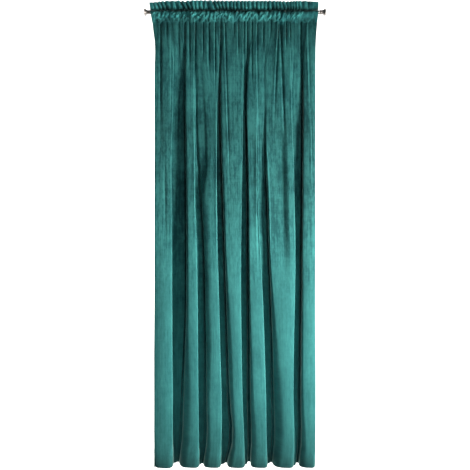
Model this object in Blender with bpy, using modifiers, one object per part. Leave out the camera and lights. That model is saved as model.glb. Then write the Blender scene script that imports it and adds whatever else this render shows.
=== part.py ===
"""Velvet curtain gathered by its rod pocket on a slim rod with two trumpet finials.

Metres. X runs along the rod, -Y faces the room, +Z is up, and the middle of the rod's
axis is the origin.
"""

import math

import bmesh
import bpy
import numpy as np

# Cloth: one 1.40 m wide panel, its top turned over to make the frill and the rod pocket.
CLOTH_THICKNESS = 0.002
HEM_Z = -2.444
LOWER_SEAM_Z = -0.050
UPPER_SEAM_Z = 0.0135
HEADING_TOP_Z = 0.0575
POCKET_END_Z = -0.053
SEAM_HALF_GAP = 0.0018

# The folds' faces hang in front of the rod by this much lower down.
FRONT_PLANE_Y = -0.027

# Half the stretch of cloth, in columns, over which a corner is rounded.
EDGE_SOFTNESS = 0.42

# Half the depth of the gathers: in the hanging cloth, at the top edge and at the end of
# the turned-over top.
HANGING_GATHER = 0.0046
TOP_GATHER = 0.0076
END_GATHER = 0.0044

# Where the changes from the heading to the folds begin and end, as depths below the rod.
FRONT_CHANGE = (0.05, 0.75)
FOLD_CHANGE = (0.05, 0.30)
COLUMN_CHANGE = (0.13, 0.46)
GATHER_FADE = (0.06, 0.42)

# Drooping top corners: middle x, half width, how far the corner droops.
DROOPS = (
    (-0.458, 0.035, 0.0105),
    (0.447, 0.050, 0.0065),
)

# Rod and finials.
ROD_DIAMETER = 0.019
ROD_LENGTH = 0.930
ROD_SIDES = 32
FINIAL_INNER_X = 0.4565
FINIAL_LENGTH = 0.0335
FINIAL_FLARE_DIAMETER = 0.0390
FINIAL_WAIST_DIAMETER = 0.0208
FINIAL_COLLAR_DIAMETER = 0.0226
FINIAL_FACE_DIAMETER = 0.0260
FINIAL_SIDES = 32
RIM_DEPTH = 0.0055
COLLAR_LENGTH = 0.009
COLLAR_EDGE = 0.0008
FLARE_POWER = 2.2
RIM_STEPS = 5
FLARE_STEPS = 7
SOCKET_DEPTH = 0.009
FIT_CLEARANCE = 0.0004

# Columns of the cloth grid below the gathers; the gathered top has twice as many.
COLUMNS = 56

# Heights at which the fold table is given.
LEVELS = (-0.261, -0.747, -1.280, -1.813, -2.346)

# One row per fold: columns of cloth on its face, crown of the face, its left edge and
# its right edge at the five heights.
FOLDS = (
    # face crown   left edge x                               right edge x
    (4, 0.011, (-0.434, -0.429, -0.429, -0.430, -0.431), (-0.346, -0.341, -0.335, -0.334, -0.324)),
    (4, 0.007, (-0.256, -0.248, -0.238, -0.226, -0.200), (-0.216, -0.213, -0.203, -0.196, -0.189)),
    (3, 0.007, (-0.150, -0.126, -0.119, -0.115, -0.118), (-0.090, -0.095, -0.091, -0.075, -0.070)),
    (4, 0.009, (-0.067, -0.060, -0.038, -0.010, 0.004), (0.047, 0.042, 0.034, 0.037, 0.053)),
    (3, 0.008, (0.073, 0.076, 0.086, 0.098, 0.116), (0.124, 0.125, 0.145, 0.160, 0.172)),
    (5, 0.010, (0.166, 0.180, 0.191, 0.229, 0.244), (0.313, 0.314, 0.324, 0.315, 0.319)),
    (3, 0.007, (0.371, 0.371, 0.370, 0.370, 0.377), (0.433, 0.4295, 0.429, 0.4285, 0.429)),
)

# One row per groove between two folds: columns of cloth in it, undercut of its left
# side, x of its deepest place and how deep it is at the five heights.
GROOVES = (
    # cols undercut deepest x                              depth
    (6, 0.006, (-0.268, -0.262, -0.260, -0.262, -0.288), (0.018, 0.048, 0.066, 0.072, 0.074)),
    (5, 0.005, (-0.196, -0.182, -0.162, -0.156, -0.156), (0.014, 0.030, 0.050, 0.057, 0.057)),
    (5, 0.004, (-0.080, -0.078, -0.060, -0.043, -0.024), (0.034, 0.050, 0.056, 0.057, 0.057)),
    (4, 0.004, (0.058, 0.061, 0.067, 0.072, 0.078), (0.036, 0.048, 0.050, 0.050, 0.049)),
    (6, 0.003, (0.148, 0.156, 0.176, 0.196, 0.203), (0.014, 0.034, 0.054, 0.062, 0.067)),
    (4, 0.003, (0.356, 0.357, 0.351, 0.345, 0.345), (0.020, 0.038, 0.043, 0.043, 0.041)),
)

# Cross-section of a fold's face: share of its width, share of its crown.
FACE_SHAPE = ((0.0, -0.35), (0.22, 0.35), (0.55, 1.0), (0.85, 0.9), (1.0, 0.25))

# Cross-section of a groove's rising side up to the next face: share of its columns,
# share of its width, share of the groove's depth.
RISE_SHAPE = ((0.76, 0.28, 0.46), (0.89, 0.56, 0.14))

# X where the cloth leaves the pocket: left edge, hollow of every gather, right edge.
GATHER_X = (
    -0.443, -0.434, -0.399, -0.370, -0.334, -0.299, -0.268, -0.241, -0.211, -0.181,
    -0.151, -0.116, -0.078, -0.045, -0.022, 0.003, 0.027, 0.052, 0.081, 0.113,
    0.148, 0.194, 0.230, 0.254, 0.283, 0.310, 0.337, 0.364, 0.404, 0.441,
)

# X of the two side edges at some heights.
EDGE_TABLE = (
    # z, left, right
    (-0.261, -0.4340, 0.4330),
    (-0.150, -0.4375, 0.4360),
    (LOWER_SEAM_Z, -0.4450, 0.4430),
    (UPPER_SEAM_Z, -0.4545, 0.4470),
    (0.060, -0.4580, 0.4480),
)

# Rows of the cloth from the hem up: height of the single hanging layer.
HANGING_ROWS = (HEM_Z, -2.20, -1.90, -1.60, -1.28, -0.98, -0.70, -0.46)
GATHERED_ROWS = (-0.330, -0.215, -0.120)

# Rows of the pocket and the frill: height, bulge round the rod, half gap between the
# layers, and half the depth of the gathers. Front layer upward, the back one downward.
POCKET_ROWS = (
    # z bulge gap gather
    (LOWER_SEAM_Z, 0.0000, SEAM_HALF_GAP, 0.0044),
    (-0.031, 0.0095, SEAM_HALF_GAP, 0.0046),
    (-0.008, 0.0140, SEAM_HALF_GAP, 0.0046),
    (0.005, 0.0134, SEAM_HALF_GAP, 0.0042),
    (0.0105, 0.0090, SEAM_HALF_GAP, 0.0040),
    (0.0138, 0.0000, SEAM_HALF_GAP, 0.0044),
    (0.0350, 0.0000, 0.0024, 0.0062),
    (0.0545, 0.0000, 0.0026, 0.0074),
)


def smooth_step(value, low, high):
    """0 below low, 1 above high, an S-shaped rise between them."""
    t = np.clip((value - low) / (high - low), 0.0, 1.0)
    return t * t * (3.0 - 2.0 * t)


def at_height(values, z):
    """Value at height z of a table row given at the five heights, rounded through them."""
    down = -np.asarray(LEVELS)
    v = np.asarray(values, dtype=float)
    slope = np.gradient(v, down)
    d = min(max(-z, down[0]), down[-1] + 0.1)
    k = min(int(np.searchsorted(down, d, side="right")) - 1, len(down) - 2)
    step = down[k + 1] - down[k]
    t = min((d - down[k]) / step, 1.0)
    a = 2 * t**3 - 3 * t**2 + 1
    b = t**3 - 2 * t**2 + t
    c = 3 * t**2 - 2 * t**3
    e = t**3 - t**2
    return a * v[k] + b * step * slope[k] + c * v[k + 1] + e * step * slope[k + 1]


def fold_outline(z):
    """Corner points of the folded cloth seen from above at height z.

    Each fold has a crowned face. The groove behind it has a hidden left side, a nearly
    level floor that is deepest near its right end, and a side that rises steeply and
    then rounds over to the next face. Returns x, y and the grid column of every corner.
    """
    front = FRONT_PLANE_Y * float(smooth_step(-z, *FRONT_CHANGE))
    xs, ys, cols = [], [], []
    col = 0.0
    for i, (face, crown, left_row, right_row) in enumerate(FOLDS):
        left = at_height(left_row, z)
        right = at_height(right_row, z)
        for part, lift in FACE_SHAPE:
            xs.append(left + (right - left) * part)
            ys.append(front - crown * lift)
            cols.append(col + face * part)
        col += face
        if i == len(GROOVES):
            break
        count, undercut, deepest_row, depth_row = GROOVES[i]
        depth = at_height(depth_row, z)
        deepest = at_height(deepest_row, z)
        rise = at_height(FOLDS[i + 1][2], z) - deepest
        corners = [
            (0.20, right - undercut, 0.50),
            (0.38, right, 0.93),
            (0.60, deepest, 1.0),
        ]
        for part, across, back in RISE_SHAPE:
            corners.append((part, deepest + across * rise, back))
        for part, x, back in corners:
            xs.append(x)
            ys.append(front + depth * back)
            cols.append(col + count * part)
        col += count
    return np.array(xs), np.array(ys), np.array(cols)


def fold_curve(z, s):
    """Middle of the folded cloth at height z for cloth columns s, as x and y.

    The cloth is shared out evenly along the outline, and its corners are softened by
    averaging along the cloth.
    """
    xs, ys, _cols = fold_outline(z)
    run = np.concatenate(([0.0], np.cumsum(np.hypot(np.diff(xs), np.diff(ys)))))
    at = run * COLUMNS / run[-1]
    reach = np.linspace(-EDGE_SOFTNESS, EDGE_SOFTNESS, 13)
    weight = np.cos(reach / EDGE_SOFTNESS * math.pi / 2) ** 2 + 0.05
    weight /= weight.sum()
    x = np.zeros_like(s)
    y = np.zeros_like(s)
    for r, w in zip(reach, weight):
        inside = np.clip(s + r, 0.0, COLUMNS)
        over = (s + r - inside) * run[-1] / COLUMNS
        x += w * (np.interp(inside, at, xs) + over)
        y += w * np.interp(inside, at, ys)
    return x, y


def cloth_column(z, column):
    """Cloth column that a grid column follows at height z.

    Lower down the grid columns keep to the corners of the folds; in the gathers they
    keep to the cloth.
    """
    xs, ys, cols = fold_outline(z)
    run = np.concatenate(([0.0], np.cumsum(np.hypot(np.diff(xs), np.diff(ys)))))
    follow = np.interp(column, cols, run * COLUMNS / run[-1])
    weight = float(smooth_step(-z, *COLUMN_CHANGE))
    return column * (1.0 - weight) + follow * weight


def gathered_x(s):
    """X of cloth column s where the cloth leaves the pocket."""
    hollows = np.arange(len(GATHER_X) - 2) * 2.0 + 1.0
    at = np.concatenate(([0.0], hollows, [float(COLUMNS)]))
    return np.interp(s, at, GATHER_X)


def cloth_line(z, column, gather):
    """Middle line of the cloth at height z: x, y and the normal to the room.

    The top of the line is the pocket's gathered line, the lower part the folded curve;
    the gathers are a wave across the line that dies out on the steep walls.
    """
    s = cloth_column(z, column)
    share = float(smooth_step(-z, *FOLD_CHANGE))
    fine = np.linspace(0.0, COLUMNS, COLUMNS * 8 + 1)
    fx, fy = fold_curve(z, fine)
    gx = gathered_x(fine)
    x = gx * (1.0 - share) + fx * share
    y = fy * share
    table = np.array(EDGE_TABLE)
    left = np.interp(z, table[:, 0], table[:, 1])
    right = np.interp(z, table[:, 0], table[:, 2])
    if z > LEVELS[0]:
        x = left + (x - x[0]) * (right - left) / (x[-1] - x[0])
    dx = np.gradient(x, fine)
    dy = np.gradient(y, fine)
    size = np.hypot(dx, dy)
    wave = gather * np.cos(math.pi * fine) * np.clip(dx / size, 0.0, 1.0) ** 2
    x = x + wave * dy / size
    y = y - wave * dx / size
    dx = np.gradient(x, fine)
    dy = np.gradient(y, fine)
    size = np.hypot(dx, dy)
    return [np.interp(s, fine, part) for part in (x, y, dy / size, -dx / size)]


def row_table():
    """Every row of the cloth from the hem to the end of the turned-over top.

    Each row: height, bulge toward the room, gap along the normal, half gather depth.
    """
    rows = []
    for z in HANGING_ROWS + GATHERED_ROWS:
        fade = float(1.0 - smooth_step(-z, *GATHER_FADE))
        rows.append((z, 0.0, SEAM_HALF_GAP * fade, HANGING_GATHER * fade))
    rows += POCKET_ROWS
    rows.append((HEADING_TOP_Z, 0.0, 0.0, TOP_GATHER))
    for z, bulge, gap, gather in POCKET_ROWS[:0:-1]:
        rows.append((z, -bulge, -gap, gather))
    rows.append((POCKET_END_Z, 0.0, -SEAM_HALF_GAP, END_GATHER))
    return rows


def add_finish(obj, colour, roughness, metallic):
    """Give an object its own Principled material."""
    mat = bpy.data.materials.new(obj.name + "_finish")
    mat.use_nodes = True
    shader = mat.node_tree.nodes["Principled BSDF"]
    shader.inputs["Base Color"].default_value = colour
    shader.inputs["Roughness"].default_value = roughness
    shader.inputs["Metallic"].default_value = metallic
    obj.data.materials.append(mat)


def put_in(collection, obj):
    """Leave an object in one collection only."""
    for other in list(obj.users_collection):
        other.objects.unlink(obj)
    collection.objects.link(obj)


def build_panel(collection):
    """The curtain cloth: one sheet, hem to frill and down again behind the rod."""
    rows = row_table()
    last = len(rows) - 1
    bm = bmesh.new()
    bmesh.ops.create_grid(bm, x_segments=COLUMNS, y_segments=last, size=1.0)
    first_fine = len(HANGING_ROWS) - 1
    across = []
    for edge in bm.edges:
        a, b = edge.verts
        if abs(a.co.y - b.co.y) < 1e-6:
            if round((a.co.y + 1.0) * last / 2.0) > first_fine:
                across.append(edge)
    bmesh.ops.subdivide_edges(bm, edges=across, cuts=1, use_grid_fill=True)
    by_row = {}
    for vert in bm.verts:
        row = round((vert.co.y + 1.0) * last / 2.0)
        by_row.setdefault(row, []).append(vert)
    for row, verts in by_row.items():
        z, bulge, gap, gather = rows[row]
        column = np.array([(v.co.x + 1.0) * COLUMNS / 2.0 for v in verts])
        x, y, nx, ny = cloth_line(z, column, gather)
        top = float(smooth_step(z, UPPER_SEAM_Z, HEADING_TOP_Z))
        droop = sum(fall * np.exp(-(((x - middle) / half) ** 2)) for middle, half, fall in DROOPS)
        for k, vert in enumerate(verts):
            vert.co = (
                x[k] + nx[k] * gap,
                y[k] + ny[k] * gap - bulge,
                z - top * droop[k],
            )
    bmesh.ops.recalc_face_normals(bm, faces=bm.faces)
    mesh = bpy.data.meshes.new("curtain_panel")
    bm.to_mesh(mesh)
    bm.free()
    obj = bpy.data.objects.new("curtain_panel", mesh)
    collection.objects.link(obj)
    thick = obj.modifiers.new("cloth_thickness", "SOLIDIFY")
    thick.thickness = CLOTH_THICKNESS
    thick.offset = 0.0
    thick.use_even_offset = True
    mesh.shade_smooth()
    add_finish(obj, (0.035, 0.200, 0.190, 1.0), 0.85, 0.0)
    return obj


def build_rod(collection):
    """The straight rod through the pocket."""
    bpy.ops.mesh.primitive_cylinder_add(
        vertices=ROD_SIDES,
        radius=ROD_DIAMETER / 2,
        depth=ROD_LENGTH,
        location=(0.0, 0.0, 0.0),
        rotation=(0.0, math.pi / 2, 0.0),
    )
    obj = bpy.context.active_object
    obj.name = "curtain_rod"
    obj.data.name = "curtain_rod"
    put_in(collection, obj)
    obj.data.shade_smooth()
    obj.data.set_sharp_from_angle(angle=math.radians(40))
    add_finish(obj, (0.62, 0.62, 0.63, 1.0), 0.22, 1.0)
    return obj


def finial_profile():
    """Outline of a finial from the middle of its outer face round to its socket's floor.

    Radius and height; the height is measured outward from the finial's inner end.
    """
    rim = FINIAL_FLARE_DIAMETER / 2
    waist = FINIAL_WAIST_DIAMETER / 2
    bore = ROD_DIAMETER / 2 + FIT_CLEARANCE
    profile = [(0.0, FINIAL_LENGTH), (FINIAL_FACE_DIAMETER / 2, FINIAL_LENGTH)]
    shoulder = rim - FINIAL_FACE_DIAMETER / 2
    for k in range(1, RIM_STEPS + 1):
        angle = math.pi / 2 * k / RIM_STEPS
        radius = FINIAL_FACE_DIAMETER / 2 + shoulder * math.sin(angle)
        profile.append((radius, FINIAL_LENGTH - RIM_DEPTH * (1.0 - math.cos(angle))))
    for k in range(1, FLARE_STEPS + 1):
        part = k / FLARE_STEPS
        radius = waist + (rim - waist) * (1.0 - part) ** FLARE_POWER
        height = FINIAL_LENGTH - RIM_DEPTH - (FINIAL_LENGTH - RIM_DEPTH - COLLAR_LENGTH) * part
        profile.append((radius, height))
    profile.append((FINIAL_COLLAR_DIAMETER / 2, COLLAR_LENGTH - COLLAR_EDGE))
    profile.append((FINIAL_COLLAR_DIAMETER / 2, COLLAR_EDGE))
    profile.append((FINIAL_COLLAR_DIAMETER / 2 - COLLAR_EDGE, 0.0))
    profile.append((bore, 0.0))
    profile.append((bore, SOCKET_DEPTH))
    profile.append((0.0, SOCKET_DEPTH))
    return profile


def build_finial(collection, name, side):
    """A turned trumpet finial pushed over one end of the rod."""
    profile = finial_profile()
    mesh = bpy.data.meshes.new(name)
    edges = [(k, k + 1) for k in range(len(profile) - 1)]
    mesh.from_pydata([(r, 0.0, h) for r, h in profile], edges, [])
    obj = bpy.data.objects.new(name, mesh)
    collection.objects.link(obj)
    obj.location = (side * FINIAL_INNER_X, 0.0, 0.0)
    obj.rotation_euler = (0.0, side * math.pi / 2, 0.0)
    turn = obj.modifiers.new("turned", "SCREW")
    turn.axis = "Z"
    turn.angle = 2.0 * math.pi
    turn.steps = FINIAL_SIDES
    turn.render_steps = FINIAL_SIDES
    turn.use_merge_vertices = True
    turn.merge_threshold = 0.00001
    turn.use_smooth_shade = True
    add_finish(obj, (0.70, 0.70, 0.71, 1.0), 0.12, 1.0)
    return obj


def build_curtain():
    """Curtain panel, rod and both finials in one collection."""
    for obj in list(bpy.data.objects):
        bpy.data.objects.remove(obj, do_unlink=True)
    collection = bpy.data.collections.new("velvet_curtain")
    bpy.context.scene.collection.children.link(collection)
    build_panel(collection)
    build_rod(collection)
    build_finial(collection, "finial_left", -1)
    build_finial(collection, "finial_right", 1)


build_curtain()
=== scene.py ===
"""Looks of the velvet curtain: the hanging cloth, its rod and finials, light and camera."""

import math

import bpy
import numpy as np
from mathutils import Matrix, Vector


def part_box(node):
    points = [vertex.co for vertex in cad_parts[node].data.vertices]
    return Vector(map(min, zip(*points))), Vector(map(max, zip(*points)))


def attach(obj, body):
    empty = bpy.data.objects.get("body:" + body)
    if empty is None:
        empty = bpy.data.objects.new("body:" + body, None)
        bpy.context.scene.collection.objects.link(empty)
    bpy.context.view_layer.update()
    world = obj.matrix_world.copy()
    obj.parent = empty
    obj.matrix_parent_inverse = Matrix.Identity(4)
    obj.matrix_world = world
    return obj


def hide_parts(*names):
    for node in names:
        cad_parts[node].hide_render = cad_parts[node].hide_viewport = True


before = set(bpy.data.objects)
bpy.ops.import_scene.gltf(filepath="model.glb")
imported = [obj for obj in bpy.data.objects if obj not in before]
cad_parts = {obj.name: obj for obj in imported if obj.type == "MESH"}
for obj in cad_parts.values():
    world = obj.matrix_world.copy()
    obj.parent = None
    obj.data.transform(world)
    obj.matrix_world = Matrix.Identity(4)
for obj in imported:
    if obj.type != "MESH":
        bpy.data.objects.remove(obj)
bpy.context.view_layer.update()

MM = 0.001

# Cloth: one panel, 1.40 m wide, its top turned over for the frill and the rod pocket.
CLOTH_WIDTH = 1.40
CLOTH_THICKNESS = 1.8 * MM
COLUMNS = 480

# Heights of the hem, the frill's top, the two seams and the end of the pocket's back, and
# the hem's depth. The middle of the cloth ends 1 mm inside the solid.
HEM_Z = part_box("curtain_panel")[0][2] + 1.0 * MM
HEADING_TOP_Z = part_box("curtain_panel")[1][2] - 1.0 * MM
UPPER_SEAM_Z = 13.0 * MM
LOWER_SEAM_Z = -50.0 * MM
POCKET_END_Z = -54.0 * MM
HEM_DEPTH = 80 * MM

# How far each layer is from the middle line where the cloth is double.
SEAM_GAP = 1.9 * MM
FRILL_GAP = 3.0 * MM
HEM_GAP = 1.4 * MM

# How far the upper seam is drawn back, how far the frill's front puffs out over it, and
# how far each of its two waves takes the lower seam up and down.
SEAM_RECESS = 4.0 * MM
FRILL_PUFF = 7 * MM
SEAM_WANDER = 3.6 * MM

# Plane in which the folds' fronts stand.
FRONT_PLANE_Y = -27.0 * MM

# Rounding of the folds' edges, how much is added to it at the hem, and how far the
# folds' right sides turn back there.
EDGE_RADIUS = 7.0 * MM
HEM_ROUNDING = 14.0 * MM
HEM_TURN = 20 * MM

# Depths below the rod's axis, m, between which the cloth changes: from gathers to folds,
# to fronts in one plane, to rounder faces, to the form of the lower folds, to the open
# hem, and to the turned sides. The creases are deeper above the last pair.
FOLDS_BEGIN = (0.05, 0.30)
FRONTS_SETTLE = (0.05, 0.75)
FACES_ROUND = (1.0, 2.0)
LOWER_FORM = (1.6, 2.25)
HEM_OPENS = (2.25, 2.42)
SIDES_TURN = (2.34, 2.44)
CREASES_CALM = (0.10, 0.40)

# Metal parts. The ring at the axis closes a turned form's end.
ROD_RADIUS = 9.5 * MM
FINIAL_INNER_X = 456.5 * MM
FINIAL_OUTER_X = 490.0 * MM
AXIS_RING_RADIUS = 0.0005 * MM
TURNED_SIDES = 96

# Camera: distance in front of the rod, height, the picture's width in pixels, and what a
# pixel covers at the rod.
CAMERA_DISTANCE = 2.85
CAMERA_Z = -1.2004
PICTURE_PIXELS = 470
PIXEL_SIZE = 5.39 * MM

# Lights: name, place and target in m, size in m, power in W, colour, spread in degrees.
LIGHTS = (
    ("key_light", (3.03, -1.52, -1.55), (0.0, 0.0, -1.52), (0.9, 0.7), 68.0, "fffaf2", 64.0),
    ("fill_light", (0.9, -3.2, 0.3), (0.0, 0.0, -0.7), (1.4, 1.0), 5.0, "ffffff", 90.0),
    ("wall_light_left", (-2.6, 0.5, 0.6), (0.0, 1.6, -1.2), (1.0, 2.4), 90.0, "ffffff", 120.0),
    ("wall_light_right", (2.6, 0.5, 0.6), (0.0, 1.6, -1.2), (1.0, 2.4), 98.0, "ffffff", 120.0),
)

# Depth below the rod's axis of the ten heights at which the folds are measured, mm. The
# last is at the hem.
FOLD_DEPTHS = (261, 477, 747, 1014, 1280, 1547, 1813, 2080, 2347, 2440)

# Side edges of the hanging cloth at those heights, mm.
LEFT_EDGE = (-433, -431, -429, -429, -429, -429, -431, -431, -431, -430)
RIGHT_EDGE = (433, 431, 429, 429, 429, 428, 429, 430, 429, 428)

# Side edges nearer the heading, mm: height, left, right.
HEADING_EDGES = (
    (-261, -433, 433),
    (-202, -433, 434),
    (-148, -436, 436),
    (-95, -442, 440),
    (-50, -446, 443),
    (13, -456, 448),
    (58, -461, 449),
)

# Grooves between the seven folds, left to right, in mm at the ten heights: where the
# left fold ends, how deep its side drops at once (in percent of the groove's depth),
# where the groove's slit is, where the next fold's face starts, and the depth.
GROOVES = (
    (
        (-332, -332, -339, -338, -336, -335, -334, -332, -333, -335),
        (80, 80, 72, 80, 88, 92, 92, 92, 92, 92),
        (-273, -273, -270, -268, -267, -267, -275, -288, -300, -311),
        (-262, -262, -255, -250, -249, -247, -247, -234, -245, -262),
        (16, 34, 47, 56, 66, 72, 74, 74, 74, 73),
    ),
    (
        (-219, -221, -214, -212, -204, -199, -197, -195, -192, -194),
        (80, 76, 92, 84, 66, 76, 88, 92, 92, 92),
        (-207, -209, -202, -184, -170, -164, -160, -162, -164, -178),
        (-160, -140, -126, -126, -128, -128, -122, -134, -132, -144),
        (6, 14, 25, 44, 54, 57, 57, 57, 55, 50),
    ),
    (
        (-85, -93, -97, -96, -92, -85, -78, -71, -73, -78),
        (80, 85, 90, 92, 92, 92, 92, 92, 92, 92),
        (-82, -83, -78, -69, -60, -51, -43, -35, -26, -50),
        (-75, -73, -67, -54, -47, -31, -16, -8, -2, -22),
        (14, 40, 50, 54, 56, 57, 57, 57, 57, 52),
    ),
    (
        (47, 45, 41, 37, 33, 33, 36, 41, 51, 52),
        (80, 85, 90, 92, 92, 92, 92, 92, 92, 92),
        (66, 58, 64, 69, 70, 72, 75, 75, 80, 76),
        (72, 63, 69, 75, 76, 80, 88, 100, 113, 105),
        (12, 40, 48, 50, 50, 50, 50, 49, 49, 50),
    ),
    (
        (124, 122, 123, 123, 136, 150, 159, 166, 171, 174),
        (60, 60, 62, 62, 52, 78, 90, 92, 92, 92),
        (157, 156, 160, 170, 179, 191, 200, 205, 206, 197),
        (168, 172, 177, 184, 190, 207, 232, 256, 258, 240),
        (4, 4, 19, 42, 53, 60, 62, 65, 66, 63),
    ),
    (
        (312, 303, 313, 319, 324, 321, 315, 313, 317, 312),
        (30, 42, 72, 90, 92, 92, 92, 92, 92, 92),
        (362, 363, 362, 361, 358, 356, 352, 349, 349, 338),
        (368, 368, 365, 363, 360, 362, 361, 365, 378, 374),
        (15, 34, 40, 43, 45, 44, 44, 43, 42, 36),
    ),
)

# How far a steep side is hidden behind the fold's edge.
UNDERCUT = 9 * MM

# Each groove's slit, mm: how much deeper than the floor it is, and half its width.
SLITS = ((4, 4), (6, 4), (16, 4), (30, 6), (10, 4), (32, 6))

# How far each fold's face stands out in its middle, mm, and the width from which it
# stands out in full.
CROWNS = (13, 8, 7, 9, 8, 10, 8)
WIDE_FACE = 110 * MM

# Pleats of the frill, mm: where the hollow is at the top edge and at the seam, depth.
FRILL_PLEATS = (
    (-444, -436, 4), (-419, -407, 9), (-399, -389, 9), (-381, -370, 9), (-350, -345, 3),
    (-321, -315, 4), (-291, -273, 12), (-269, -253, 12), (-242, -233, 10), (-215, -213, 4),
    (-197, -194, 4), (-172, -171, 6), (-151, -148, 8), (-118, -102, 12), (-99, -85, 10),
    (-78, -66, 9), (-58, -51, 8), (-32, -30, 5), (-9, -8, 6), (5, 8, 8),
    (30, 32, 9), (48, 51, 5), (65, 67, 8), (89, 92, 5), (113, 115, 6),
    (136, 135, 4), (155, 154, 4), (175, 175, 8), (199, 199, 9), (221, 221, 5),
    (237, 240, 5), (252, 261, 9), (275, 283, 9), (295, 299, 6), (310, 311, 8),
    (326, 327, 9), (341, 342, 6), (357, 358, 4), (399, 399, 3),
)

# Dips of the frill's top edge, mm: x of the middle, how deep (a rise if below 0), half
# width. The whole edge stands higher by TOP_EDGE_RISE.
TOP_EDGE_DIPS = ((-458, 8, 60), (-270, 3.5, 22), (-200, -2.5, 70), (280, 3.5, 45), (447, 5, 50))
TOP_EDGE_RISE = 1.5 * MM

# Gathers round the rod, mm: where the hollow is above the rod and at the lower seam,
# depth.
POCKET_GATHERS = (
    (-410, -421, 8), (-386, -397, 8), (-372, -380, 7), (-358, -350, 8), (-322, -330, 6),
    (-287, -287, 9), (-263, -264, 9), (-241, -241, 9), (-222, -228, 6), (-203, -214, 7),
    (-184, -195, 7), (-153, -164, 8), (-135, -143, 7), (-114, -114, 8), (-102, -102, 6),
    (-86, -91, 7), (-72, -78, 7), (-59, -59, 6), (-40, -40, 6), (-21, -27, 6),
    (3, -8, 7), (21, 11, 7), (43, 32, 7), (57, 51, 6), (72, 67, 6),
    (88, 88, 7), (104, 104, 6), (123, 123, 7), (150, 150, 5), (182, 172, 7),
    (204, 193, 7), (230, 220, 7), (254, 244, 7), (276, 270, 7), (303, 292, 7),
    (332, 322, 7), (357, 357, 7), (402, 402, 2),
)

# Painted light and shade on the pile, by height from the hem (0) to the top (1): share of
# the height, tone. It paints shade at the hem, uneven light and shade up the hanging cloth,
# deep shade in the channel between frill and pocket and a little under the pocket, and
# light on the pocket beside it. The first two are the ends of the ramp.
PAINTED_SHADING_TONES = (
    (0.0, 0.19), (1.0, 0.95), (0.010, 0.26), (0.03, 0.40), (0.06, 0.48), (0.12, 0.57), (0.19, 0.59),
    (0.36, 0.51), (0.49, 0.50), (0.53, 0.45), (0.615, 0.41), (0.66, 0.45), (0.72, 0.39),
    (0.80, 0.52), (0.88, 0.51), (0.9529, 0.375), (0.9569, 0.42), (0.9608, 0.76), (0.9647, 1.0),
    (0.9686, 0.99), (0.9725, 0.55), (0.9765, 0.17), (0.9804, 0.13), (0.9843, 0.46), (0.9882, 0.99),
)

# How far the pocket stands out, mm: height, distance.
POCKET_BULGE = (
    (-50, 0), (-46, 8), (-40, 13), (-30, 16), (-18, 18), (-7, 18.5), (-3, 16.5), (0, 13.5),
    (5, 11), (9, 8), (13, 0),
)

# Short wrinkles in the pocket's front: how many, and where their middles lie, m.
CRUMPLES = 120
CRUMPLES_X = (-0.44, 0.375)
CRUMPLES_Z = (-0.050, -0.008)

# Heights, m, between which the pile goes from calm to crushed, and the height at which
# the edges of the painted light and shade are straight again.
PILE_CRUSHED = (-1.6, -1.0)
STRAIGHT_TONES_Z = 0.10

# Small pleats of the hanging cloth, mm: x of the hollow at the upper and the lower end,
# height of the two ends, the hollow's width on its right, its depth, and how far the lip
# on its left stands out. With a lip below 0 the cloth on the left stays back too.
CREASES = (
    (-421, -392, -50, -1050, 30, 4, -1),
    (-401, -399, -50, -640, 14, 7, 0.5),
    (-378, -368, -760, -1300, 12, 3, 0.3),
    (-370, -372, -50, -150, 12, 4, 1),
    (-344, -338, -50, -700, 14, 2, 0.5),
    (-304, -304, -50, -330, 10, 3, 0),
    (-271, -271, -50, -300, 9, 8, 0.6),
    (-244, -244, -50, -330, 8, 5, 0.3),
    (-216, -218, -50, -480, 12, 8, 3),
    (-217, -212, -560, -1300, 8, 2, 3),
    (-175, -173, -50, -260, 12, 3, 1),
    (-141, -139, -50, -380, 9, 4, 0.5),
    (-109, -107, -50, -430, 8, 6, 2),
    (-99, -97, -400, -1400, 8, 1, 4.5),
    (-79, -84, -50, -300, 9, 8, 1),
    (-57, -27, -50, -1000, 10, 4, 3),
    (-6, -6, -50, -150, 10, 3, 0.5),
    (16, 17, -50, -280, 10, 3, 1),
    (47, 47, -50, -300, 6, 7, 2.5),
    (65, 64, -50, -330, 8, 7, 1),
    (89, 90, -50, -430, 9, 6, 1),
    (118, 122, -50, -640, 9, 4, 2.5),
    (116, 119, -540, -1400, 8, 0, 7),
    (152, 152, -50, -220, 11, 4, 0.5),
    (192, 192, -50, -160, 12, 3, 0.5),
    (234, 203, -50, -640, 14, 6, 5),
    (246, 268, -50, -760, 10, 8, 0.5),
    (240, 268, -480, -1600, 38, 14, -1),
    (274, 276, -50, -210, 8, 5, 1),
    (296, 298, -50, -180, 6, 4, 1),
    (298, 311, -150, -760, 10, 2, 4),
    (357, 358, -50, -420, 8, 6, 0),
    (391, 404, -50, -680, 14, 1.5, 4),
    (404, 417, -460, -1100, 8, 2, 3.5),
)


def smooth_step(value, low, high):
    """0 below low and 1 above high, with an S-shaped rise 3t^2 - 2t^3 between them."""
    t = np.clip((value - low) / (high - low), 0.0, 1.0)
    return t * t * (3.0 - 2.0 * t)


def along_height(row, z):
    """A measured row, in mm at the ten heights, as metres at heights z.

    Between two heights the value follows the cubic through both with the row's own
    slopes, so it is smooth from the top to the hem.
    """
    depths = np.asarray(FOLD_DEPTHS, dtype=float) * MM
    values = np.asarray(row, dtype=float) * MM
    slopes = np.gradient(values, depths)
    d = np.clip(-z, depths[0], depths[-1])
    k = np.clip(np.searchsorted(depths, d, side="right") - 1, 0, len(depths) - 2)
    step = depths[k + 1] - depths[k]
    t = (d - depths[k]) / step
    start = (2 * t**3 - 3 * t**2 + 1) * values[k] + (t**3 - 2 * t**2 + t) * step * slopes[k]
    end = (3 * t**2 - 2 * t**3) * values[k + 1] + (t**3 - t**2) * step * slopes[k + 1]
    return start + end


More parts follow.
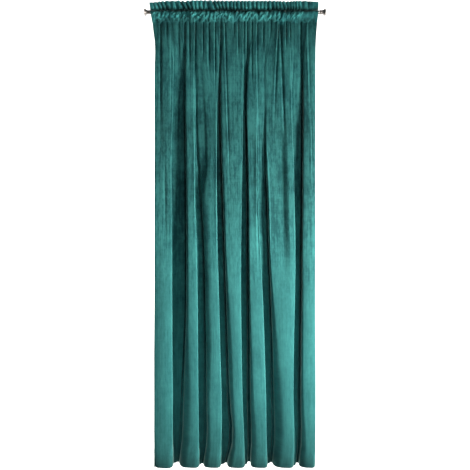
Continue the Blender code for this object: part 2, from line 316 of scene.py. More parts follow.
def bell(value, width):
    """1 at 0, fading to 0 on both sides as exp(-(value / width)^2)."""
    return np.exp(-((value / width) ** 2))


def face_heights(z, lefts, rights):
    """How far each fold's face stands out, less in proportion where it is narrow.

    It is a fifth of its height down to 1 m below the rod, and in full from 2 m on. The
    last face stands out in full from the top.
    """
    roundness = 0.2 + 0.8 * smooth_step(-z, *FACES_ROUND)
    heights = []
    for crown, left, right in zip(CROWNS, lefts, rights):
        narrow = np.clip((right - left) / WIDE_FACE, 0.25, 1.0)
        heights.append(crown * MM * narrow * (roundness if len(heights) < len(GROOVES) else 1.0))
    return heights


def face_points(left, right, height, peak, turned, is_first):
    """Points across a fold's face, for the share f of its width: a parabola.

    It is height * (((f - peak) / peak)^2 - 0.65), furthest out at peak. At the hem its
    right quarter turns back as a power of 2.5, and the first fold's left edge too.
    """
    points = []
    for f in np.linspace(0.0, 1.0, 13):
        turn = max((f - 0.75) / 0.25, 0.0) + max((0.17 - f) / 0.17, 0.0) * is_first
        y = height * (((f - peak) / peak) ** 2 - 0.65) + turned * turn**2.5
        points.append((left + (right - left) * f, y))
    return points


def groove_points(i, z, right, next_height, next_width, peak):
    """Points from a fold's right edge into groove i and up to the next fold's face.

    The left side drops, in part hidden behind the edge, to a slit in the floor. The other
    side is a steep rise to the knee and a shoulder that comes into the next face without
    a break: a quarter of an ellipse in the upper half, and a cubic at the hem, both over
    a straight slope.
    """
    low = smooth_step(-z, *LOWER_FORM)
    drop, deepest, after, depth = (along_height(row, z) for row in GROOVES[i][1:])
    # The drop is a percentage and becomes a share, without the scale to metres.
    drop = drop / (100 * MM)
    hidden = UNDERCUT * smooth_step(drop * depth, 6 * MM, 36 * MM)
    hidden = hidden * (1.0 - smooth_step(-z, *HEM_OPENS))
    rise = after - deepest
    steep = np.maximum((0.12 + 0.5 * smooth_step(rise / depth, 1.2, 2.4)) * rise, 5.5 * MM)
    steep = steep + 3 * low * MM
    bottom = depth + SLITS[i][0] * MM * smooth_step(depth, 10 * MM, 40 * MM)
    slit_half = (SLITS[i][1] + 3 * low) * MM
    knee = (0.40 + 0.35 * low) * depth
    # Each point is its x and how far back it lies.
    points = [
        (right - hidden, 0.5 * drop * depth),
        (right - 0.7 * hidden, 0.92 * drop * depth),
        (right + 0.62 * (deepest - right), (0.10 + 0.85 * drop) * depth),
        (deepest - slit_half - 2 * MM, (0.15 + 0.80 * drop) * depth),
        (deepest - slit_half, bottom),
        (deepest + slit_half, bottom),
        (deepest + slit_half + 1 * MM, (0.72 + 0.24 * low) * depth),
        (deepest + steep, knee),
    ]
    top = 0.35 * next_height
    slope = 2.0 * next_height / (peak * next_width)
    sloping = np.minimum(slope * (rise - steep), 0.6 * (knee - top))
    for u in (0.08, 0.2, 0.35, 0.5, 0.65, 0.8, 0.92):
        hollow = (1.0 - low) * (1.0 - math.sqrt(1.0 - (1.0 - u) ** 2)) + low * (1.0 - u) ** 3
        y = top + sloping * (1.0 - u) + (knee - top - sloping) * hollow
        points.append((deepest + steep + u * (rise - steep), y))
    return points


def fold_outlines(z):
    """The folded cloth seen from above: corner points x and y, one row for each height.

    A fold's face is furthest out at 0.6 of its width, and at 0.75 towards the hem.
    """
    front = FRONT_PLANE_Y * smooth_step(-z, *FRONTS_SETTLE)
    peak = 0.6 + 0.15 * smooth_step(-z, *LOWER_FORM)
    turned = HEM_TURN * smooth_step(-z, *SIDES_TURN)
    lefts = [along_height(row, z) for row in [LEFT_EDGE] + [groove[3] for groove in GROOVES]]
    rights = [along_height(row, z) for row in [groove[0] for groove in GROOVES] + [RIGHT_EDGE]]
    heights = face_heights(z, lefts, rights)
    # The cloth's left edge is turned back by 7 mm.
    points = [(lefts[0] - 1.5 * MM, z * 0 + 7 * MM)]
    for i, (left, right) in enumerate(zip(lefts, rights)):
        points += face_points(left, right, heights[i], peak, turned, i == 0)
        if i < len(GROOVES):
            next_width = rights[i + 1] - lefts[i + 1]
            points += groove_points(i, z, right, heights[i + 1], next_width, peak)
    xs, ys = zip(*points)
    return np.array(xs).T, front[:, None] + np.array(ys).T


def softened(at, values, along, radius):
    """Mean of a corner line over a short stretch each side of the places along it.

    It is weighted by the square of a cosine over the stretch. Past its ends the line goes
    on straight, so that the ends stay where they are.
    """
    reach = np.linspace(-radius, radius, 15)
    weight = np.cos(reach / radius * math.pi / 2) ** 2 + 0.04
    start = (values[1] - values[0]) / (at[1] - at[0])
    end = (values[-1] - values[-2]) / (at[-1] - at[-2])
    total = np.zeros_like(along)
    for r, w in zip(reach, weight / weight.sum()):
        place = along + r
        value = np.interp(place, at, values)
        value = value + np.minimum(place, 0.0) * start + np.maximum(place - at[-1], 0.0) * end
        total += w * value
    return total


def fold_lines(z, s):
    """Middle of the folded cloth for heights z and cloth places s from 0 to 1.

    Every corner keeps its own place in the cloth from the top to the hem, given by its
    mean share of the line's length. The corners are rounded by softened(), more so at
    the hem.
    """
    xs, ys = fold_outlines(z)
    steps = np.hypot(np.diff(xs, axis=1), np.diff(ys, axis=1))
    at = np.concatenate([np.zeros((len(z), 1)), np.cumsum(steps, axis=1)], axis=1)
    corners = np.arange(at.shape[1])
    place = np.interp(s, (at / at[:, -1:]).mean(axis=0), corners)
    radius = EDGE_RADIUS + HEM_ROUNDING * smooth_step(-z, *HEM_OPENS)
    x = np.empty((len(z), len(s)))
    y = np.empty((len(z), len(s)))
    for row in range(len(z)):
        along = np.interp(place, corners, at[row])
        x[row] = softened(at[row], xs[row], along, radius[row])
        y[row] = softened(at[row], ys[row], along, radius[row])
    return x, y


def pleat_wave(table, x, lean, power=1.0):
    """Round ridges and narrow hollows between the places of a pleat table.

    Between two hollows the height is sqrt(sin^2(pi f) + 0.02) to a power, less its
    middle value, times the depth; a higher power gives narrower ridges. lean is 0 at the
    table's upper end and 1 at its lower end.
    """
    rows = np.array(table, dtype=float) * MM
    count = len(rows)
    wave = np.empty_like(x)
    for row in range(x.shape[0]):
        places = rows[:, 0] * (1.0 - lean[row]) + rows[:, 1] * lean[row]
        index = np.interp(x[row], places, np.arange(count), left=-0.4, right=count - 0.6)
        depth = np.interp(x[row], places, rows[:, 2])
        ridge = np.sqrt(np.sin(np.pi * index) ** 2 + 0.02)
        wave[row] = depth * (ridge**power - 0.62 / power**0.3)
    return wave


def crumples(x, z):
    """Short slanting wrinkles of the slack pocket, scattered with a fixed seed.

    Each is a bell-shaped ridge 12 to 20 mm tall, 4 to 7 mm wide and 5 to 12.5 mm high,
    and leans to the right going up.
    """
    rng = np.random.default_rng(7)
    relief = np.zeros_like(x)
    for _ in range(CRUMPLES):
        middle = rng.uniform(*CRUMPLES_X)
        height = rng.uniform(*CRUMPLES_Z)
        lean = rng.uniform(0.3, 1.1)
        half_length = rng.uniform(6.0, 10.0) * MM
        half_width = rng.uniform(2.2, 3.4) * MM
        rise = z - height
        across = x - middle - lean * rise
        ridge = bell(across, half_width) * bell(rise, half_length)
        relief += rng.uniform(5.0, 12.5) * MM * ridge
    return relief


def crease_relief(x, z):
    """Sum of the small pleats, each with its lip on the left and its hollow on the right.

    With u the distance to the right of the hollow, the cloth climbs to the lip as
    exp(u / 9 mm), falls to the hollow in 4 mm (up to 18 mm where the lip is low) and
    comes back along a half cosine. Where the cloth on the left stays back, it comes
    forward again as exp(-(u / 140 mm)^2). Every pleat fades out over its lower half, and
    one that begins below the pocket fades in over its upper third.
    """
    relief = np.zeros_like(x)
    for x_top, x_low, z_top, z_low, width, depth, lip in CREASES:
        part = np.clip((z - z_top * MM) / ((z_low - z_top) * MM), 0.0, 1.0)
        u = (x - (x_top + (x_low - x_top) * part) * MM) / MM
        if lip < 0:
            left = -depth * bell(np.minimum(u, 0.0), 140.0)
        else:
            foot = 4.0 + 14.0 * max(1.0 - lip, 0.0)
            climb = lip * np.exp(np.minimum(u + foot, 0.0) / 9.0)
            left = climb - (lip + depth) * smooth_step(u, -foot, 0.0)
        back = depth * (0.5 - 0.5 * np.cos(np.pi * np.clip(u / width, 0.0, 1.0)))
        length = (z_top - z_low) * MM
        fade = 1.0 - smooth_step(-z, -z_low * MM - 0.5 * length, -z_low * MM)
        if z_top * MM < LOWER_SEAM_Z:
            fade = fade * smooth_step(-z, -z_top * MM, -z_top * MM + 0.3 * length)
        relief += MM * fade * (left + back)
    return relief * (1.5 - 0.5 * smooth_step(-z, *CREASES_CALM))


def cloth_route():
    """The cloth followed from the turned-up hem to the end of the pocket's back.

    Returns for every grid row its height, how far the pocket bulges to the room, and
    the distance from the middle line along the normal, to the room if above 0.
    """
    parts = []

    def add(z, bulge, gap):
        """Rows at heights z with their bulge and gap."""
        z = np.atleast_1d(z).astype(float)
        parts.append(np.stack([z, z * 0 + bulge, z * 0 + gap]))

    # The hem: its turned-up back, its round edge, its front and its pinched seam.
    hem_up = np.linspace(HEM_Z + HEM_DEPTH, HEM_Z + 2 * HEM_GAP, 2)
    add(hem_up, 0.0, -HEM_GAP)
    turn = np.linspace(0.0, math.pi, 5)[1:-1]
    add(HEM_Z + HEM_GAP * (1.0 - np.sin(turn)), 0.0, -HEM_GAP * np.cos(turn))
    add(np.linspace(HEM_Z + 2 * HEM_GAP, HEM_Z + HEM_DEPTH - 4 * MM, 2), 0.0, HEM_GAP)
    add(HEM_Z + HEM_DEPTH, 0.0, 0.7 * HEM_GAP)
    add(HEM_Z + HEM_DEPTH + 5 * MM, 0.0, 0.9 * HEM_GAP)
    # The hanging cloth, with its rows closer together towards the pocket.
    body = np.concatenate((
        np.linspace(HEM_Z + HEM_DEPTH + 30 * MM, -0.80, 18),
        np.linspace(-0.75, -0.28, 10),
        np.linspace(-0.26, -0.075, 12),
    ))
    add(body, 0.0, SEAM_GAP * smooth_step(body, -0.25, -0.08))
    # The front of the pocket and of the frill, the round top edge, and both backs.
    upward = pocket_heights()
    add(upward, pocket_bulge(upward), SEAM_GAP)
    frill = np.linspace(UPPER_SEAM_Z + 2.5 * MM, HEADING_TOP_Z - FRILL_GAP, 10)
    frill_gap = SEAM_GAP + (FRILL_GAP - SEAM_GAP) * smooth_step(frill, UPPER_SEAM_Z, HEADING_TOP_Z)
    add(frill, frill_puff(frill), frill_gap)
    over = np.linspace(0.0, math.pi, 6)[1:-1]
    add(HEADING_TOP_Z - FRILL_GAP * (1.0 - np.sin(over)), 0.0, FRILL_GAP * np.cos(over))
    add(frill[::-2], -0.4 * frill_puff(frill[::-2]), -frill_gap[::-2])
    downward = upward[::-1][::3]
    add(downward, -pocket_bulge(downward), -SEAM_GAP)
    add(np.array([POCKET_END_Z]), 0.0, -SEAM_GAP)
    return np.concatenate(parts, axis=1)


def pocket_heights():
    """Heights of the rows between the two seams of the rod pocket, closer at the seams."""
    heights = (-60, -54, -51, -49, -46, -43, -40, -37, -34, -31, -28, -25, -22, -19, -16, -13)
    return np.array(heights + (-10, -7, -4, -1, 3, 7, 10.5, 13)) * MM


def frill_puff(z):
    """How far the frill's front puffs out: FRILL_PUFF times sin(pi t^0.55)^0.8.

    t is 0 at the seam and 1 at the top, so the frill is fullest low over the seam.
    """
    t = np.clip((z - UPPER_SEAM_Z) / (HEADING_TOP_Z - UPPER_SEAM_Z), 0.0, 1.0)
    return FRILL_PUFF * np.sin(math.pi * t**0.55) ** 0.8


def pocket_bulge(z):
    """How far the pocket stands out round the rod, read off a short table of heights.

    It is slack below the rod and falls back over the rod's upper half to the seam.
    """
    rows = np.array(POCKET_BULGE, dtype=float) * MM
    return np.interp(z, rows[:, 0], rows[:, 1])


def cloth_plan(z, s):
    """Middle of the cloth seen from above: straight at the heading, folded below 0.3 m.

    In between it is a mix of the two. Its side edges follow HEADING_EDGES as far down as
    that table goes.
    """
    x, y = fold_lines(z, s)
    share = smooth_step(-z, *FOLDS_BEGIN)[:, None]
    edges = np.array(HEADING_EDGES, dtype=float) * MM
    left = np.interp(z, edges[:, 0], edges[:, 1])[:, None]
    right = np.interp(z, edges[:, 0], edges[:, 2])[:, None]
    x = (left + (right - left) * s) * (1.0 - share) + x * share
    fitted = left + (x - x[:, :1]) * (right - left) / (x[:, -1:] - x[:, :1])
    return np.where(z[:, None] > edges[0, 0], fitted, x), y * share


def plan_direction(x, y):
    """Direction (dx, dy) along each plan line, of length 1; (dy, -dx) is to the room."""
    dx = np.gradient(x, axis=1)
    dy = np.gradient(y, axis=1)
    size = np.maximum(np.hypot(dx, dy), 1e-6)
    return dx / size, dy / size


def pleat_relief(x, z, bulge):
    """How far the pleats of the frill, the pocket and the hanging cloth stand out.

    z has one height for each row. The frill's pleats deepen from 1.3 times their depth at
    the top to 2.1 times at the seam. The pocket's are 0.7 of theirs, and 0.3 in the
    channel above the rod, where its wrinkles end. The two seams pinch them all.
    """
    frill_share = smooth_step(z, UPPER_SEAM_Z - 2 * MM, UPPER_SEAM_Z + 4 * MM)
    pocket_share = smooth_step(z, LOWER_SEAM_Z - 6 * MM, LOWER_SEAM_Z + 3 * MM)
    channel = smooth_step(z, -6 * MM, 2 * MM)
    frill_lean = 1.0 - smooth_step(z, UPPER_SEAM_Z, HEADING_TOP_Z)
    pocket_lean = 1.0 - smooth_step(z, LOWER_SEAM_Z, UPPER_SEAM_Z)
    frill = pleat_wave(FRILL_PLEATS, x, frill_lean[:, 0], 2.0) * (1.3 + 0.8 * frill_lean)
    pocket = (0.7 - 0.4 * channel) * pleat_wave(POCKET_GATHERS, x, pocket_lean[:, 0])
    pocket = pocket + crumples(x, z) * (bulge > 0) * (1.0 - channel)
    relief = frill * frill_share + pocket * (pocket_share - frill_share)
    relief = relief + crease_relief(x, z) * (1.0 - pocket_share)
    pinch = 0.35 * bell(z - UPPER_SEAM_Z, 4 * MM) + 0.30 * bell(z - LOWER_SEAM_Z, 4 * MM)
    return relief * (1.0 - pinch)


def cloth_surface():
    """Every point of the cloth's middle surface, and its UV in metres.

    The pleats and creases are added along the plan line's normal, and then each layer
    stands off by its own gap.
    """
    z, bulge, gap = cloth_route()
    run = np.hypot(np.diff(z), np.diff(-bulge - gap))
    length = np.concatenate(([0.0], np.cumsum(run)))[:, None]
    s = np.linspace(0.0, 1.0, COLUMNS + 1)
    x, y = cloth_plan(z, s)
    z, bulge, gap = z[:, None], bulge[:, None], gap[:, None]
    dx, dy = plan_direction(x, y)
    relief = pleat_relief(x, z, bulge) * np.clip(dx, 0.0, 1.0)
    x, y = x + relief * dy, y - relief * dx
    dx, dy = plan_direction(x, y)
    x, y = x + gap * dy, y - gap * dx - bulge
    y = y + SEAM_RECESS * bell(z - UPPER_SEAM_Z, 7 * MM)

    # The pocket's lower seam wanders up and down in a short wave and a changing one.
    changing = np.sin(x / (11 * MM) + 1.0) * np.sin(x / (47 * MM))
    wander = SEAM_WANDER * (np.sin(x / (7 * MM)) + changing)
    tall = z + wander * bell(z - LOWER_SEAM_Z, 9 * MM)
    top = smooth_step(z, UPPER_SEAM_Z, HEADING_TOP_Z)
    tall = tall + top * TOP_EDGE_RISE
    for middle, deep, half_width in TOP_EDGE_DIPS:
        tall = tall - top * deep * MM * bell(x / MM - middle, half_width)
    points = np.stack([x, y, tall], axis=-1)
    uv = np.stack(np.broadcast_arrays(s * CLOTH_WIDTH, length), axis=-1)
    return points, uv


def grid_mesh(name, points, uv=None, closed_across=False):
    """Mesh of a grid of points, joined to its first column again if closed_across.

    Its faces look at someone who sees its columns go right and its rows go up.
    """
    rows, cols = points.shape[:2]
    index = np.arange(rows * cols).reshape(rows, cols)
    if closed_across:
        index = np.concatenate([index, index[:, :1]], axis=1)
    quads = np.stack([index[:-1, :-1], index[:-1, 1:], index[1:, 1:], index[1:, :-1]], axis=-1)
    quads = quads.reshape(-1, 4)
    mesh = bpy.data.meshes.new(name)
    mesh.vertices.add(rows * cols)
    mesh.vertices.foreach_set("co", points.reshape(-1).astype(np.float32))
    mesh.loops.add(quads.size)
    mesh.loops.foreach_set("vertex_index", quads.reshape(-1).astype(np.int32))
    mesh.polygons.add(len(quads))
    mesh.polygons.foreach_set("loop_start", np.arange(len(quads), dtype=np.int32) * 4)
    mesh.update(calc_edges=True)
    mesh.validate()
    if uv is not None:
        layer = mesh.uv_layers.new(name="cloth")
        corners = uv.reshape(-1, 2)[quads.reshape(-1)]
        layer.data.foreach_set("uv", corners.reshape(-1).astype(np.float32))
    mesh.shade_smooth()
    return mesh


def new_piece(name, mesh, materials):
    """Object of a mesh with its materials, linked and riding on the one body."""
    obj = bpy.data.objects.new(name, mesh)
    bpy.context.scene.collection.objects.link(obj)
    for mat in materials:
        obj.data.materials.append(mat)
    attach(obj, "root")
    return obj


def linear(hex_text):
    """sRGB hex such as 4fa398 as a linear colour with alpha 1."""
    parts = [int(hex_text[k : k + 2], 16) / 255 for k in (0, 2, 4)]
    parts = [c / 12.92 if c <= 0.04045 else ((c + 0.055) / 1.055) ** 2.4 for c in parts]
    return (*parts, 1.0)


def new_material(name):
    """Material with an empty tree but for its Principled shader; both are returned."""
    mat = bpy.data.materials.new(name)
    mat.use_nodes = True
    return mat, mat.node_tree, mat.node_tree.nodes["Principled BSDF"]


def add_node(tree, kind, settings=None, feeds=(), **links):
    """Add a node. settings sets its properties and sockets; links feed its sockets.

    feeds go to its first sockets in their order, each a number or another node's output.
    """
    node = tree.nodes.new(kind)
    for key, value in (settings or {}).items():
        if hasattr(node, key):
            setattr(node, key, value)
        else:
            node.inputs[key.replace("_", " ")].default_value = value
    for socket, source in zip(node.inputs, feeds):
        if isinstance(source, float):
            socket.default_value = source
        else:
            tree.links.new(source, socket)
    for key, source in links.items():
        tree.links.new(source, node.inputs[key.replace("_", " ")])
    return node


def crushed_tones(tree, uv):
    """Uneven tones of the crushed pile, 0.5 in the mean: five layers of noise mixed."""
    tones = None
    # Cells per metre across and along the cloth, detail and share of each layer: wide
    # areas of pile laid another way, crushed patches, laid streaks, grains, faint weft lines.
    for across, along, detail, share in (
        (8.0, 5.0, 2.0, 1.0),
        (60.0, 24.0, 4.0, 0.50),
        (95.0, 4.0, 2.0, 0.35),
        (110.0, 60.0, 3.0, 0.16),
        (5.0, 130.0, 2.0, 0.06),
    ):
        cells = add_node(tree, "ShaderNodeMapping", {"Scale": (across, along, 1.0)}, Vector=uv)
        noise = add_node(
            tree, "ShaderNodeTexNoise", {"Scale": 1.0, "Detail": detail, "Roughness": 0.6},
            Vector=cells.outputs["Vector"],
        ).outputs["Fac"]
        if tones is None:
            tones = noise
        else:
            tones = add_node(
                tree, "ShaderNodeMix", {"data_type": "FLOAT", "Factor": share}, A=tones, B=noise,
            ).outputs["Result"]
    return tones


def painted_shading_tone(tree, place, height):
    """Painted light and shade on the pile by height, from the tone table.

    The edges of the tones are ragged, most at half height, and straight at both ends:
    they shift by a noise times the distances from the top and from the hem, 0.11 m at
    most. The noise's patches are about 45 mm wide and 200 mm tall.
    """
    stretched = add_node(tree, "ShaderNodeMapping", {"Scale": (22.0, 22.0, 5.0)}, Vector=place)
    ragged = add_node(
        tree, "ShaderNodeTexNoise", {"Scale": 1.0, "Detail": 3.0},
        Vector=stretched.outputs["Vector"],
    )
    shift = add_node(
        tree, "ShaderNodeMapRange",
        {"From_Min": 0.2, "From_Max": 0.8, "To_Min": -0.07, "To_Max": 0.07},
        Value=ragged.outputs["Fac"],
    )
    below = add_node(tree, "ShaderNodeMath", {"operation": "SUBTRACT"}, (STRAIGHT_TONES_Z, height))
    above = add_node(tree, "ShaderNodeMath", {"operation": "SUBTRACT"}, (height, HEM_Z))
    amount = add_node(
        tree, "ShaderNodeMath", {"operation": "MULTIPLY"},
        (below.outputs["Value"], above.outputs["Value"]),
    )
    shifted = add_node(
        tree, "ShaderNodeMath", {"operation": "MULTIPLY_ADD"},
        (amount.outputs["Value"], shift.outputs["Result"], height),
    )
    share = add_node(
        tree, "ShaderNodeMapRange", {"From_Min": HEM_Z, "From_Max": HEADING_TOP_Z},
        Value=shifted.outputs["Value"],
    )
    # Ramp of painted light and shade by height, with ragged edges.
    painted_shading = add_node(tree, "ShaderNodeValToRGB", {}, Fac=share.outputs["Result"])
    stops = painted_shading.color_ramp.elements
    for k, (part, tone) in enumerate(PAINTED_SHADING_TONES):
        stop = stops[k] if k < 2 else stops.new(part)
        stop.position = part
        stop.color = (tone, tone, tone, 1.0)
    return painted_shading.outputs["Color"]


def velvet_face():
    """Crushed velvet: short dense pile on a woven ground.

    The pile is dark when looked into and pale along its edges, so it has a strong
    sheen, no gloss, soft patches where it lies another way, and a fine grain. Its
    colour also carries painted light and shade by height.
    """
    mat, tree, shader = new_material("crushed_velvet_pile")
    shader.inputs["Roughness"].default_value = 0.85
    shader.inputs["Specular IOR Level"].default_value = 0.12
    shader.inputs["Sheen Weight"].default_value = 0.8
    shader.inputs["Sheen Roughness"].default_value = 0.28
    shader.inputs["Sheen Tint"].default_value = linear("b4e0da")
    uv = add_node(tree, "ShaderNodeUVMap", {"uv_map": "cloth"}).outputs["UV"]
    place = add_node(tree, "ShaderNodeTexCoord").outputs["Object"]
    height = add_node(tree, "ShaderNodeSeparateXYZ", {}, Vector=place).outputs["Z"]
    tones = crushed_tones(tree, uv)
    # The pile is crushed in the upper half and calm in the lower half.
    crushed = add_node(
        tree, "ShaderNodeMapRange",
        {
            "From_Min": PILE_CRUSHED[0], "From_Max": PILE_CRUSHED[1],
            "To_Min": 0.35, "To_Max": 1.0,
        },
        Value=height,
    )
    spread = add_node(
        tree, "ShaderNodeMix", {"data_type": "FLOAT", "A": 0.5},
        Factor=crushed.outputs["Result"], B=tones,
    )
    ramp = add_node(tree, "ShaderNodeValToRGB", {}, Fac=spread.outputs["Result"])
    ramp.color_ramp.elements[0].position = 0.44
    ramp.color_ramp.elements[0].color = linear("286c70")
    ramp.color_ramp.elements[1].position = 0.56
    ramp.color_ramp.elements[1].color = linear("48a1a0")
    # The ramp's colour is multiplied by painted light and shade by height.
    toned = add_node(tree, "ShaderNodeMix", {"data_type": "RGBA", "blend_type": "MULTIPLY"})
    toned.inputs["Factor"].default_value = 1.0
    tree.links.new(ramp.outputs["Color"], toned.inputs[6])
    tree.links.new(painted_shading_tone(tree, place, height), toned.inputs[7])
    tree.links.new(toned.outputs[2], shader.inputs["Base Color"])
    # Pile tufts are about 0.6 mm, too fine to show, so the grain is drawn at 3 mm.
    grain = add_node(
        tree, "ShaderNodeTexNoise", {"Scale": 330.0, "Detail": 3.0, "Roughness": 0.7}, Vector=uv,
    )
    pile = add_node(
        tree, "ShaderNodeMix", {"data_type": "FLOAT", "Factor": 0.5},
        A=grain.outputs["Fac"], B=tones,
    )
    bump = add_node(
        tree, "ShaderNodeBump", {"Strength": 0.5, "Distance": 0.0012},
        Height=pile.outputs["Result"],
    )
    tree.links.new(bump.outputs["Normal"], shader.inputs["Normal"])
    return mat


def velvet_ground():
    """Back of the velvet: the plain woven ground, matt and a little duller."""
    mat, tree, shader = new_material("woven_velvet_ground")
    shader.inputs["Roughness"].default_value = 0.9
    shader.inputs["Specular IOR Level"].default_value = 0.2
    shader.inputs["Sheen Weight"].default_value = 0.12
    uv = add_node(tree, "ShaderNodeUVMap", {"uv_map": "cloth"}).outputs["UV"]
    # The weave is about 0.5 mm, too fine to show, so it is drawn at 2 mm.
    warp, weft = (
        add_node(
            tree, "ShaderNodeTexWave",
            {"wave_type": "BANDS", "bands_direction": way, "Scale": 160.0}, Vector=uv,
        ).outputs["Fac"]
        for way in "XY"
    )
    cross = add_node(tree, "ShaderNodeMath", {"operation": "MULTIPLY"}, (warp, weft))
    wear = add_node(tree, "ShaderNodeTexNoise", {"Scale": 9.0, "Detail": 4.0}, Vector=uv)
    mixed = add_node(
        tree, "ShaderNodeMix", {"data_type": "FLOAT", "Factor": 0.35},
        A=wear.outputs["Fac"], B=cross.outputs["Value"],
    )
    ramp = add_node(tree, "ShaderNodeValToRGB", {}, Fac=mixed.outputs["Result"])
    ramp.color_ramp.elements[0].position = 0.25
    ramp.color_ramp.elements[0].color = linear("255a56")
    ramp.color_ramp.elements[1].position = 0.75
    ramp.color_ramp.elements[1].color = linear("3b7a74")
    tree.links.new(ramp.outputs["Color"], shader.inputs["Base Color"])
    bump = add_node(
        tree, "ShaderNodeBump", {"Strength": 0.35, "Distance": 0.0004},
        Height=cross.outputs["Value"],
    )
    tree.links.new(bump.outputs["Normal"], shader.inputs["Normal"])
    return mat


def polished_nickel(name, light_hex, dark_hex, roughness):
    """Nickel plate over turned steel: bright, with fine turning marks and smudges.

    roughness is the pair from which the clean and the smudged places take theirs.
    """
    mat, tree, shader = new_material(name)
    shader.inputs["Metallic"].default_value = 1.0
    place = add_node(tree, "ShaderNodeTexCoord").outputs["Object"]
    smudge = add_node(tree, "ShaderNodeTexNoise", {"Scale": 60.0, "Detail": 4.0}, Vector=place)
    ramp = add_node(tree, "ShaderNodeValToRGB", {}, Fac=smudge.outputs["Fac"])
    ramp.color_ramp.elements[0].position = 0.3
    ramp.color_ramp.elements[0].color = linear(dark_hex)
    ramp.color_ramp.elements[1].position = 0.7
    ramp.color_ramp.elements[1].color = linear(light_hex)
    tree.links.new(ramp.outputs["Color"], shader.inputs["Base Color"])
    rough = add_node(
        tree, "ShaderNodeMapRange", {"To_Min": roughness[0], "To_Max": roughness[1]},
        Value=smudge.outputs["Fac"],
    )
    tree.links.new(rough.outputs["Result"], shader.inputs["Roughness"])
    # Turning marks run round the bar, about 0.8 mm apart.
    marks = add_node(
        tree, "ShaderNodeTexWave",
        {"wave_type": "BANDS", "bands_direction": "X", "Scale": 400.0, "Distortion": 1.5},
        Vector=place,
    )
    bump = add_node(
        tree, "ShaderNodeBump", {"Strength": 0.08, "Distance": 0.0001},
        Height=marks.outputs["Fac"],
    )
    tree.links.new(bump.outputs["Normal"], shader.inputs["Normal"])
    return mat


def turned_piece(name, profile, mat):
    """A turned form about the rod's axis from (x, radius) pairs, carried round in a circle."""
    x, radius = np.array(profile).T
    angle = np.linspace(0.0, 2.0 * math.pi, TURNED_SIDES, endpoint=False)
    points = np.stack([
        np.repeat(x[:, None], TURNED_SIDES, axis=1),
        radius[:, None] * np.cos(angle),
        radius[:, None] * np.sin(angle),
    ], axis=-1)
    mesh = grid_mesh(name, points, closed_across=True)
    return new_piece(name, mesh, [mat])


def trumpet_profile():
    """Half outline of a finial, from its outer face along the flare and waist to its collar.

    Distances are measured outward from the inner end. The flare's radius falls from
    the rim to the waist as (1 - t)^2.2, and the rim is a quarter ellipse.
    """
    length = FINIAL_OUTER_X - FINIAL_INNER_X
    rim, waist, collar, face = 19.5 * MM, 10.4 * MM, 11.3 * MM, 13.0 * MM
    rim_depth, collar_length, bore = 5.5 * MM, 9.0 * MM, 9.9 * MM
    t = np.linspace(0.0, 1.0, 9)
    outline = [(length, r) for r in (AXIS_RING_RADIUS, 4 * MM, 8 * MM, 11 * MM)]
    quarter = t * math.pi / 2
    outline += list(zip(
        length - rim_depth * (1.0 - np.cos(quarter)), face + (rim - face) * np.sin(quarter),
    ))
    t = np.linspace(0.0, 1.0, 22)[1:]
    outline += list(zip(
        length - rim_depth - (length - rim_depth - collar_length) * t,
        waist + (rim - waist) * (1.0 - t) ** 2.2,
    ))
    outline += [
        (collar_length - 0.3 * MM, collar - 0.4 * MM),
        (collar_length - 1.0 * MM, collar),
        (1.0 * MM, collar),
        (0.3 * MM, collar - 0.3 * MM),
        (0.0, collar - 1.0 * MM),
        (0.0, bore),
        (collar_length, bore),
        (collar_length, AXIS_RING_RADIUS),
    ]
    return np.array(outline)


def build_cloth():
    """The curtain panel as one sheet with its own thickness."""
    points, uv = cloth_surface()
    mesh = grid_mesh("velvet_panel", points, uv)
    panel = new_piece("velvet_panel", mesh, [velvet_face(), velvet_ground()])
    thick = panel.modifiers.new("cloth_thickness", "SOLIDIFY")
    thick.thickness = CLOTH_THICKNESS
    thick.offset = 0.0
    thick.use_even_offset = False
    thick.material_offset = 1
    thick.material_offset_rim = 1
    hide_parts("curtain_panel")


def build_metal():
    """The rod and its two trumpet finials."""
    rod_mat = polished_nickel("polished_nickel_rod", "aeacaa", "868482", (0.30, 0.44))
    end_mat = polished_nickel("polished_nickel_finial", "b4afac", "837d7a", (0.40, 0.55))
    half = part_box("curtain_rod")[1][0]
    chamfer = 0.4 * MM
    rod_line = [
        (-half, AXIS_RING_RADIUS), (-half, ROD_RADIUS - chamfer), (-half + chamfer, ROD_RADIUS),
        (half - chamfer, ROD_RADIUS), (half, ROD_RADIUS - chamfer), (half, AXIS_RING_RADIUS),
    ]
    rod = turned_piece("rod_tube", rod_line[::-1], rod_mat)
    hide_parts("curtain_rod")
    outline = trumpet_profile()
    for name, side in (("left", -1), ("right", 1)):
        line = outline * (side, 1.0) + (side * FINIAL_INNER_X, 0.0)
        if side < 0:
            line = line[::-1]
        finial = turned_piece("trumpet_finial_" + name, line, end_mat)
        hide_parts("finial_" + name)


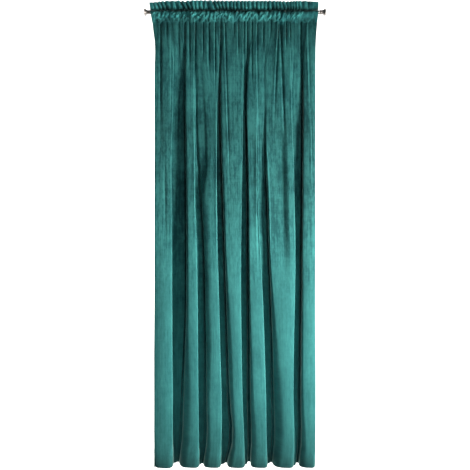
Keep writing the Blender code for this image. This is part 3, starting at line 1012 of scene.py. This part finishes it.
def build_stage():
    """A pale floor that runs up into a pale back wall in one smooth bend."""
    floor_z = HEM_Z - 0.40
    front_y, wall_y, bend = -6.0, 1.6, 0.5
    wall_top, half_width = 3.5, 6.0
    turn = np.linspace(0.0, math.pi / 2, 16)
    y = np.concatenate(([front_y, front_y / 2], wall_y - bend + bend * np.sin(turn), [wall_y]))
    z = np.concatenate(([floor_z, floor_z], floor_z + bend * (1.0 - np.cos(turn)), [wall_top]))
    x = np.array([-half_width, 0.0, half_width])
    points = np.stack([
        np.repeat(x[None, :], len(y), axis=0),
        np.repeat(y[:, None], len(x), axis=1),
        np.repeat(z[:, None], len(x), axis=1),
    ], axis=-1)
    mesh = grid_mesh("pale_backdrop", points)
    # Matt wall paint: even and pale, without any gloss.
    mat, tree, shader = new_material("matt_white_paint")
    shader.inputs["Base Color"].default_value = linear("f7f7f6")
    shader.inputs["Roughness"].default_value = 0.95
    shader.inputs["Specular IOR Level"].default_value = 0.1
    # Its back is clear, so that the curtain can be seen from behind.
    behind = add_node(tree, "ShaderNodeNewGeometry").outputs["Backfacing"]
    clear = add_node(tree, "ShaderNodeBsdfTransparent").outputs["BSDF"]
    feeds = (behind, shader.outputs["BSDF"], clear)
    seen = add_node(tree, "ShaderNodeMixShader", {}, feeds).outputs["Shader"]
    tree.links.new(seen, tree.nodes["Material Output"].inputs["Surface"])
    obj = bpy.data.objects.new("pale_backdrop", mesh)
    bpy.context.scene.collection.objects.link(obj)
    obj.data.materials.append(mat)


def add_area_light(name, place, target, size, power, colour, spread):
    """Soft rectangular light at a place, turned to a target."""
    data = bpy.data.lights.new(name, "AREA")
    data.shape = "RECTANGLE"
    data.size, data.size_y = size
    data.energy = power
    data.color = linear(colour)[:3]
    data.spread = math.radians(spread)
    light = bpy.data.objects.new(name, data)
    bpy.context.scene.collection.objects.link(light)
    light.location = place
    light.rotation_euler = direction(np.array(target) - np.array(place))


def direction(aim):
    """Turn that points a camera's or a light's -Z along aim, with +Z up in the picture."""
    flat = math.hypot(aim[0], aim[1])
    return (math.atan2(flat, -aim[2]), 0.0, math.atan2(-aim[0], aim[1]))


def build_lights():
    """Key light low on the right, weak fill from in front, and light on the backdrop."""
    for row in LIGHTS:
        add_area_light(*row)
    world = bpy.data.worlds.new("soft_room")
    bpy.context.scene.world = world
    world.use_nodes = True
    world.node_tree.nodes["Background"].inputs["Color"].default_value = linear("e8f0f4")
    world.node_tree.nodes["Background"].inputs["Strength"].default_value = 0.06


def build_camera():
    """Camera level with the curtain's middle, square on, in front of the rod."""
    data = bpy.data.cameras.new("camera")
    data.sensor_width = 36.0
    data.lens = data.sensor_width * CAMERA_DISTANCE / (PICTURE_PIXELS * PIXEL_SIZE)
    camera = bpy.data.objects.new("camera", data)
    bpy.context.scene.collection.objects.link(camera)
    camera.location = (0.0, -CAMERA_DISTANCE, CAMERA_Z)
    camera.rotation_euler = direction((0.0, 1.0, 0.0))
    bpy.context.scene.camera = camera


build_metal()
build_cloth()
build_stage()
build_lights()
build_camera()
bpy.context.scene.view_settings.view_transform = "Standard"
